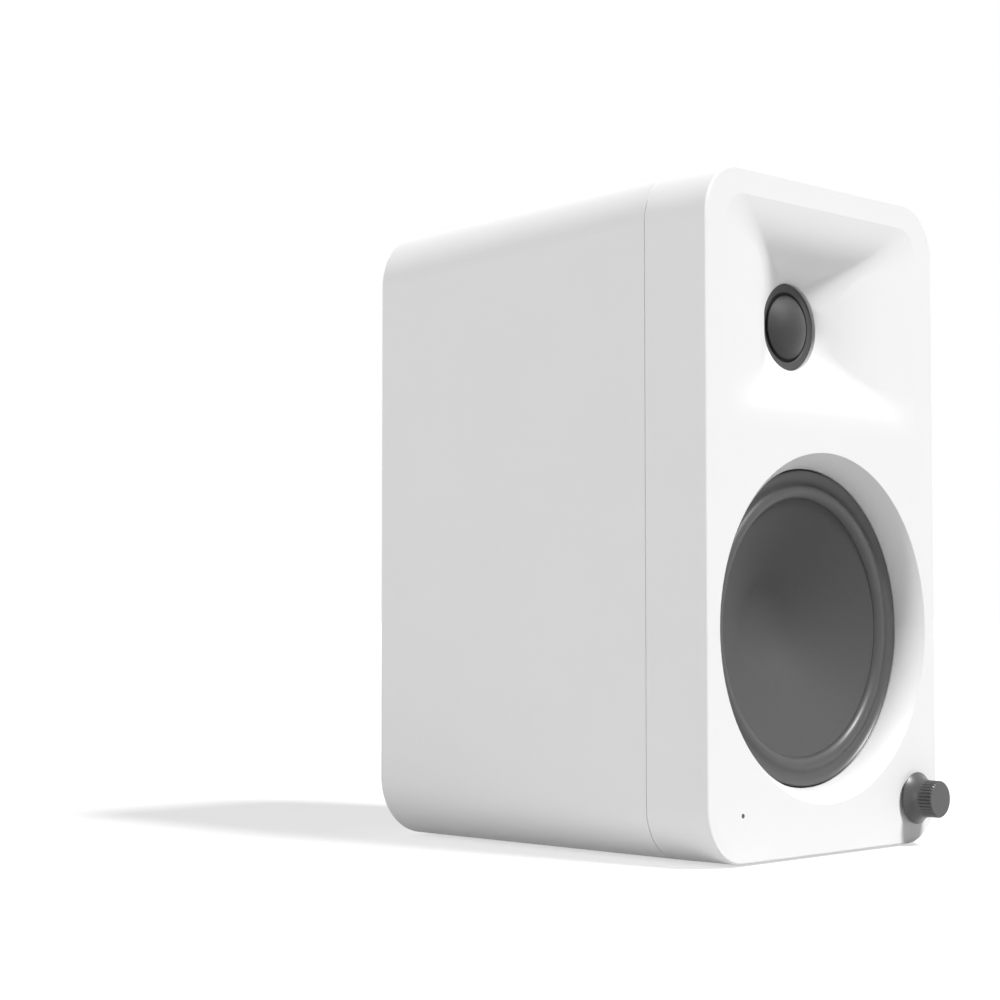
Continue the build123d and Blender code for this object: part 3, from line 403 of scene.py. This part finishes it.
def make_materials(woofer_centre):
    """One material for each slot, and for the nodes that look other than their slot."""
    brass = ((0.58, 0.4, 0.16), (0.74, 0.54, 0.24))
    gold = ((0.8, 0.56, 0.2), (0.9, 0.66, 0.28))
    amber = ((0.2, 0.11, 0.03), (0.5, 0.34, 0.13))
    red = ((0.34, 0.012, 0.012), (0.42, 0.02, 0.018))
    drawn, brushed = (1, 0.05, 1), (1, 1, 0.04)
    return {
        "cabinet_white": satin_lacquer(),
        "grey_plastic": moulded("grey_plastic", tint=(0.06, 0.072), rough=(0.38, 0.46), shine=0.3),
        "knob_plastic": moulded("knob_plastic", tint=(0.078, 0.09), rough=(0.3, 0.36), shine=0.4),
        "grey_cone": pressed_dish(woofer_centre),
        "grey_rubber": soft_rubber("grey_rubber", tint=(0.064, 0.075), rough=(0.36, 0.41)),
        "grey_silk": woven("grey_silk", THREAD_PITCH, tint=(0.035, 0.08), rough=(0.42, 0.52), sheen=0.1),
        # roll_silk is the dome's weave in a darker tint; the darker tint is painted shade for the groove
        # round the dome
        "roll_silk": woven("roll_silk", THREAD_PITCH, tint=(0.012, 0.025), rough=(0.5, 0.6), sheen=0.1),
        "rca_plastic": socket_colours(*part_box("rca_bodies")),
        "black_plastic": moulded("black_plastic", tint=(0.016, 0.024), rough=(0.4, 0.52)),
        "black_steel": moulded("black_steel", (0.018, 0.028), (0.42, 0.58), 0.6 * MM, 30 * MICRON),
        "zinc_steel": metal("zinc_steel", tint=(0.52, 0.66), rough=(0.28, 0.45)),
        "brass_post": metal("brass_post", tint=brass, rough=(0.22, 0.38)),
        "gold_plate": metal("gold_plate", tint=gold, rough=(0.14, 0.26)),
        "tinned_brass": metal("tinned_brass", tint=(0.56, 0.68), rough=(0.25, 0.4)),
        "copper": wire_winding(),
        "coil_former": metal("coil_former", tint=(0.6, 0.7), rough=(0.25, 0.4), stretch=drawn),
        "bare_aluminium": metal("bare_aluminium", tint=(0.66, 0.76), rough=(0.26, 0.42), stretch=brushed),
        "ferrite": ferrite(),
        "seal_foam": foam(),
        "foot_rubber": soft_rubber("foot_rubber", tint=(0.02, 0.03), rough=(0.6, 0.75)),
        "felt": felt(),
        "spider_cloth": woven("spider_cloth", 0.9 * MM, tint=amber, rough=(0.6, 0.75), sheen=0.2),
        "circuit_board": solder_mask(),
        "smoked_pipe": smoked_lens(),
        "clear_led": clear_lens(),
        "red_cap": moulded("red_cap", tint=red, rough=(0.26, 0.36)),
        "capacitor_sleeve": printed_sleeve(),
    }


def smooth_dish():
    """The dish's own normals have one bad corner at its centre, which shows as a bright speck."""
    mesh = frame["nodes"]["woofer_cone"].data
    normals = mesh.attributes.get("custom_normal")
    if normals:
        mesh.attributes.remove(normals)
    mesh.shade_smooth()
    mesh.set_sharp_from_angle(angle=SMOOTH_ANGLE)


def dress_nodes(looks):
    for row in frame["record"]["subparts"]:
        mesh = frame["nodes"][row["node"]].data
        mesh.materials.clear()
        mesh.materials.append(looks[NODE_LOOKS.get(row["node"], row["material_slot"])])


# Turned pieces


def arc(first, middle, last, steps):
    """Points of the circle through three points, from the first to the last."""
    ax, ay = first
    bx, by = middle
    cx, cy = last
    turn = 2 * (ax * (by - cy) + bx * (cy - ay) + cx * (ay - by))
    squares = [x * x + y * y for x, y in (first, middle, last)]
    x = (squares[0] * (by - cy) + squares[1] * (cy - ay) + squares[2] * (ay - by)) / turn
    y = (squares[0] * (cx - bx) + squares[1] * (ax - cx) + squares[2] * (bx - ax)) / turn
    radius = math.hypot(ax - x, ay - y)
    angles = [math.atan2(py - y, px - x) for px, py in (first, middle, last)]
    full = 2 * math.pi
    sweep = (angles[2] - angles[0]) % full
    if (angles[1] - angles[0]) % full > sweep:
        sweep -= full
    places = [angles[0] + sweep * step / steps for step in range(steps + 1)]
    return [(x + radius * math.cos(angle), y + radius * math.sin(angle)) for angle in places]


def centre_of(node):
    low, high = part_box(node)
    return (low + high) / 2


def half_width(node):
    low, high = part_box(node)
    return (high.x - low.x) / 2


def turned(name, profile, centre, look, steps=RING_STEPS, reach=None):
    """Ring turned about a front-to-back axis, from points of radius against depth.

    Where reach is given, it works out the radius from a point of the profile and the angle.
    """
    mesh = bpy.data.meshes.new(name)
    shape = bmesh.new()
    rows = []
    for step in range(steps):
        angle = 2 * math.pi * step / steps
        row = []
        for radius, depth in profile:
            if reach:
                radius = reach(radius, depth, angle)
            x = centre.x + radius * math.cos(angle)
            z = centre.z + radius * math.sin(angle)
            row.append(shape.verts.new((x, depth, z)))
        rows.append(row)
    for step, row in enumerate(rows):
        following = rows[(step + 1) % steps]
        for index in range(len(profile)):
            after = (index + 1) % len(profile)
            shape.faces.new((row[index], row[after], following[after], following[index]))
    bmesh.ops.remove_doubles(shape, verts=shape.verts, dist=MERGE_REACH)
    bmesh.ops.recalc_face_normals(shape, faces=shape.faces)
    shape.to_mesh(mesh)
    shape.free()
    mesh.shade_smooth()
    mesh.set_sharp_from_angle(angle=SMOOTH_ANGLE)
    mesh.materials.append(look)
    piece = bpy.data.objects.new(name, mesh)
    bpy.context.scene.collection.objects.link(piece)
    return piece


def follow_by_radius(piece, inner):
    """Bakes the ring's placement into its mesh."""
    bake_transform(piece)


def roll_circles(shoulder, crest, level):
    """Valley of the rubber and the bead that touches it: radius and depth of each centre, and size."""
    width = shoulder - crest
    half = (width**2 - 2 * BEAD_RADIUS * ROLL_VALLEY) / (2 * width)
    dip = (half**2 + ROLL_VALLEY**2) / (2 * ROLL_VALLEY)
    return (shoulder - half, level + ROLL_VALLEY - dip, dip), (crest, level + BEAD_RADIUS, BEAD_RADIUS)


def swept(circle, side, grow, start, end, steps):
    """Points of a grown circle between two angles, on its back for side 1 or its front for side -1."""
    x, y, radius = circle
    reach = radius + grow
    angles = [start + (end - start) * step / steps for step in range(steps + 1)]
    return [(x + reach * math.sin(angle), y + side * reach * math.cos(angle)) for angle in angles]


def rubber_roll(looks):
    """Rubber that dips from the woofer's rim, rises to a bead and comes down to the edge of the dish."""
    node = "woofer_surround"
    centre = centre_of(node)
    outer = half_width(node) - ROLL_GROOVE
    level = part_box(node)[0].y
    slope = Vector((math.sin(DISH_ANGLE), math.cos(DISH_ANGLE)))
    along = Vector((-slope.y, slope.x)) * DISH_LIP
    edge = Vector((half_width("woofer_cone") - DISH_WALL * slope.x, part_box("woofer_cone")[0].y))
    valley, bead = roll_circles(outer - ROLL_EDGE, edge.x + BEAD_OFFSET, level)
    rise = math.asin((outer - ROLL_EDGE - valley[0]) / valley[2])
    meet = math.asin((valley[0] - bead[0]) / (valley[2] + bead[2]))
    rim = math.asin((outer - ROLL_FOOT - valley[0]) / (valley[2] + ROLL_RUBBER))
    lip_front = edge + slope * (DISH_WALL + ROLL_GAP)
    lip_back = lip_front + slope * ROLL_RUBBER
    profile = [(outer, level)]
    profile += swept(valley, 1, 0, rise, -meet, VALLEY_STEPS)
    profile += swept(bead, -1, 0, meet, -BEAD_TURN, BEAD_STEPS)[1:]
    rim_back = edge + slope * DISH_WALL + Vector((ROLL_TOUCH, 0))
    lip = (rim_back, lip_front, lip_front + along, lip_back + along, lip_back)
    profile += [tuple(point) for point in lip]
    profile += swept(bead, -1, -ROLL_RUBBER, -BEAD_TURN, meet, BEAD_BACK_STEPS)
    profile += swept(valley, 1, ROLL_RUBBER, -meet, rim, VALLEY_BACK_STEPS)[1:]
    profile += [(outer - ROLL_FOOT, level + ROLL_FOOT), (outer, level + ROLL_FOOT)]
    piece = turned("woofer_roll", profile, centre, looks["grey_rubber"])
    follow_by_radius(piece, bead[0])
    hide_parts(node)


def cloth_spider(looks):
    """Corrugated cloth ring that centres the voice coil."""
    node = "woofer_spider"
    centre = centre_of(node)
    outer = half_width(node)
    low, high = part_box(node)
    level = (low.y + high.y) / 2
    inner = half_width("woofer_coil_former") + ROLL_GAP
    start = inner + SPIDER_COLLAR
    last = outer - SPIDER_RIM
    steps = SPIDER_WAVES * SPIDER_WAVE_STEPS
    front = [(inner, level - SPIDER_CLOTH / 2)]
    for step in range(steps + 1):
        share = step / steps
        lift = SPIDER_WAVE * math.sin(2 * math.pi * SPIDER_WAVES * share)
        front.append((start + (last - start) * share, level - SPIDER_CLOTH / 2 - lift))
    front.append((outer, level - SPIDER_CLOTH / 2))
    back = [(radius, depth + SPIDER_CLOTH) for radius, depth in reversed(front)]
    piece = turned("woofer_spider_cloth", front + back, centre, looks["spider_cloth"])
    follow_by_radius(piece, start)
    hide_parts(node)


def dome_roll(looks):
    """Cloth, given a darker tint than the dome as painted shade for the groove, that dips between the
    face ring and a sleeve under the edge of the dome.
    """
    node = "tweeter_surround"
    centre = centre_of(node)
    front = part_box(node)[0].y
    back = front + DOME_ROLL_CLOTH
    outer = half_width(node)
    far = outer - DOME_ROLL_LIP
    inside = half_width("tweeter_dome") - DOME_SLEEVE_GAP
    near = half_width("tweeter_dome") + DOME_ROLL_CLOTH
    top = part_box("tweeter_dome")[1].y
    middle = (far + near) / 2
    profile = [(outer, front)]
    profile += arc((far, front), (middle, front + DOME_ROLL_DIP), (near, front), DOME_ROLL_STEPS)
    profile += [(near, top), (inside, top), (inside, back)]
    profile += arc((near, back), (middle, back + DOME_ROLL_DIP), (far, back), DOME_ROLL_STEPS)
    profile += [(outer, back)]
    piece = turned("tweeter_roll", profile, centre, looks["roll_silk"])
    follow_by_radius(piece, near)
    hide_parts(node)


def silk_dome(looks):
    """Thin woven cap in front of the tweeter's coil."""
    node = "tweeter_dome"
    centre = centre_of(node)
    low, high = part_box(node)
    radius = half_width(node)
    rise = high.y - low.y
    sphere = (radius * radius + rise * rise) / (2 * rise)
    middle = low.y + sphere
    profile = []
    inward = range(DOME_STEPS + 1)
    for size, order in ((sphere, inward), (sphere - DOME_CLOTH, reversed(inward))):
        reach = math.acos((middle - high.y) / size)
        for step in order:
            angle = reach * (1 - step / DOME_STEPS)
            profile.append((size * math.sin(angle), middle - size * math.cos(angle)))
    piece = turned("tweeter_dome_cloth", profile, centre, looks["grey_silk"])
    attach(piece, "tweeter_diaphragm")
    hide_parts(node)


def trumpet(rim, grip, start, end):
    """Points of a flare that leaves the rim at a slope and meets the grip in line with it."""
    bend = start + (end - start) * FLARE_BEND
    points = []
    for step in range(FLARE_STEPS + 1):
        share = step / FLARE_STEPS
        radius = grip + (rim - grip) * (1 - share) ** 2
        depth = start * (1 - share) ** 2 + 2 * bend * share * (1 - share) + end * share**2
        points.append((radius, depth))
    return points


def fluted_knob(looks):
    """Trumpet-shaped knob whose flutes run out on the flare, with a socket for the nut and the shaft."""
    node = "volume_knob"
    low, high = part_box(node)
    start = high.y - KNOB_RIM
    neck = start - KNOB_FLARE
    front = low.y + KNOB_CHAMFER
    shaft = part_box("encoder_shaft")[0].y - KNOB_FIT
    recess = high.y - KNOB_SOCKET_DEPTH

    def cut(radius, depth, angle):
        """Radius of the knob's outside where a flute passes."""
        if radius <= KNOB_SOCKET:
            return radius
        run = min(1.0, max(0.0, (neck + FLUTE_RUN - depth) / FLUTE_RUN))
        wave = (0.5 + 0.5 * math.cos(KNOB_FLUTES * angle)) ** FLUTE_SHARPNESS
        groove = FLUTE_DEPTH * wave * run * run * (3 - 2 * run)
        return radius - groove if radius >= KNOB_GRIP else min(radius, KNOB_GRIP - groove)

    profile = [(0, shaft), (KNOB_BORE, shaft), (KNOB_BORE, recess)]
    profile += [(KNOB_SOCKET, recess), (KNOB_SOCKET, high.y)]
    profile += [(KNOB_SKIRT - KNOB_EDGE, high.y), (KNOB_SKIRT, high.y - KNOB_EDGE)]
    profile += trumpet(KNOB_SKIRT, KNOB_GRIP, start, neck)
    for step in range(1, GRIP_STEPS + 1):
        profile.append((KNOB_GRIP, neck + (front - neck) * step / GRIP_STEPS))
    profile += [(KNOB_GRIP - KNOB_CHAMFER, low.y), (0, low.y)]
    steps = KNOB_FLUTES * FLUTE_STEPS
    look = looks["knob_plastic"]
    piece = turned("knob_grip", profile, centre_of(node), look, steps, reach=cut)
    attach(piece, "knob")
    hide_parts(node)


def felt_pads(looks):
    """Lumpy felt in the space that the damping pads hold."""
    node = "damping_pads"
    mesh = frame["nodes"][node].data.copy()
    mesh.name = "cabinet_felt"
    mesh.materials.clear()
    piece = bpy.data.objects.new("cabinet_felt", mesh)
    bpy.context.scene.collection.objects.link(piece)
    remesh = piece.modifiers.new("remesh", "REMESH")
    remesh.mode = "VOXEL"
    remesh.voxel_size = FELT_VOXEL
    graph = bpy.context.evaluated_depsgraph_get()
    piece.data = bpy.data.meshes.new_from_object(piece.evaluated_get(graph))
    piece.modifiers.clear()
    for vertex in piece.data.vertices:
        lump = noise.noise(vertex.co / FELT_LUMP_SIZE)
        vertex.co -= vertex.normal * FELT_LUMP * (1 + lump) / 2
    piece.data.shade_smooth()
    piece.data.materials.append(looks["felt"])
    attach(piece, "cabinet")
    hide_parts(node)


# Studio


def seen_directly(nodes, links):
    """One for rays from the camera, from a mirror or through glass, and zero for the rest."""
    path = nodes.new("ShaderNodeLightPath")
    share = path.outputs["Is Camera Ray"]
    for kind in ("Is Glossy Ray", "Is Transmission Ray"):
        either = nodes.new("ShaderNodeMath")
        either.operation = "MAXIMUM"
        links.new(share, either.inputs[0])
        links.new(path.outputs[kind], either.inputs[1])
        share = either.outputs[0]
    return share


def white_world():
    """Soft sky that is brightest overhead, and plain white where the camera or a mirror sees it."""
    world = bpy.data.worlds.new("studio")
    bpy.context.scene.world = world
    world.use_nodes = True
    nodes, links = world.node_tree.nodes, world.node_tree.links
    nodes.clear()
    place = nodes.new("ShaderNodeTexCoord")
    split = nodes.new("ShaderNodeSeparateXYZ")
    links.new(place.outputs["Generated"], split.inputs[0])
    height = nodes.new("ShaderNodeMapRange")
    height.inputs["To Max"].default_value = SKY_TOP
    links.new(split.outputs["Z"], height.inputs["Value"])
    soft = nodes.new("ShaderNodeBackground")
    soft.inputs["Color"].default_value = (1, 1, 1, 1)
    links.new(height.outputs[0], soft.inputs["Strength"])
    white = nodes.new("ShaderNodeBackground")
    white.inputs["Color"].default_value = (1, 1, 1, 1)
    mixed = nodes.new("ShaderNodeMixShader")
    links.new(seen_directly(nodes, links), mixed.inputs[0])
    links.new(soft.outputs[0], mixed.inputs[1])
    links.new(white.outputs[0], mixed.inputs[2])
    output = nodes.new("ShaderNodeOutputWorld")
    links.new(mixed.outputs[0], output.inputs["Surface"])


def pale_floor():
    """Wide white floor that keeps the shadow and is lifted to white where the camera sees it."""
    mesh = bpy.data.meshes.new("floor")
    reach = FLOOR_REACH
    corners = [(-reach, -reach, 0), (reach, -reach, 0), (reach, reach, 0), (-reach, reach, 0)]
    mesh.from_pydata(corners, [], [(0, 1, 2, 3)])
    material = bpy.data.materials.new("floor_white")
    material.use_nodes = True
    nodes, links = material.node_tree.nodes, material.node_tree.links
    nodes.clear()
    diffuse = nodes.new("ShaderNodeBsdfDiffuse")
    diffuse.inputs["Color"].default_value = colour(FLOOR_GREY)
    lift = nodes.new("ShaderNodeMath")
    lift.operation = "MULTIPLY"
    lift.inputs[1].default_value = FLOOR_GLOW
    links.new(seen_directly(nodes, links), lift.inputs[0])
    glow = nodes.new("ShaderNodeEmission")
    links.new(lift.outputs[0], glow.inputs["Strength"])
    both = nodes.new("ShaderNodeAddShader")
    links.new(diffuse.outputs[0], both.inputs[0])
    links.new(glow.outputs[0], both.inputs[1])
    output = nodes.new("ShaderNodeOutputMaterial")
    links.new(both.outputs[0], output.inputs["Surface"])
    mesh.materials.append(material)
    floor = bpy.data.objects.new("floor", mesh)
    bpy.context.scene.collection.objects.link(floor)


def soft_lamp(name, turn, height, strength, spread):
    """Distant lamp that stands so far right of the front, and so high, in degrees."""
    turn, height = math.radians(turn), math.radians(height)
    flat = math.cos(height)
    source = Vector((math.sin(turn) * flat, -math.cos(turn) * flat, math.sin(height)))
    lamp = bpy.data.lights.new(name, "SUN")
    lamp.energy = strength
    lamp.angle = math.radians(spread)
    holder = bpy.data.objects.new(name, lamp)
    holder.rotation_mode = "QUATERNION"
    holder.rotation_quaternion = source.to_track_quat("Z", "Y")
    bpy.context.scene.collection.objects.link(holder)


def studio():
    white_world()
    pale_floor()
    for name, numbers in LAMPS.items():
        soft_lamp(name, *numbers)
    bpy.context.scene.view_settings.view_transform = "Standard"


def camera():
    data = bpy.data.cameras.new("camera")
    data.lens = CAMERA_LENS
    data.sensor_width = CAMERA_SENSOR
    data.shift_x, data.shift_y = CAMERA_SHIFT
    data.clip_start = CAMERA_NEAR
    data.clip_end = CAMERA_FAR
    holder = bpy.data.objects.new("camera", data)
    holder.location = CAMERA_PLACE
    holder.rotation_mode = "QUATERNION"
    holder.rotation_quaternion = CAMERA_FORWARD.to_track_quat("-Z", "Y")
    bpy.context.scene.collection.objects.link(holder)
    bpy.context.scene.camera = holder


camera()
studio()
looks = make_materials(centre_of("woofer_cone"))
dress_nodes(looks)
smooth_dish()
rubber_roll(looks)
cloth_spider(looks)
dome_roll(looks)
silk_dome(looks)
fluted_knob(looks)
felt_pads(looks)
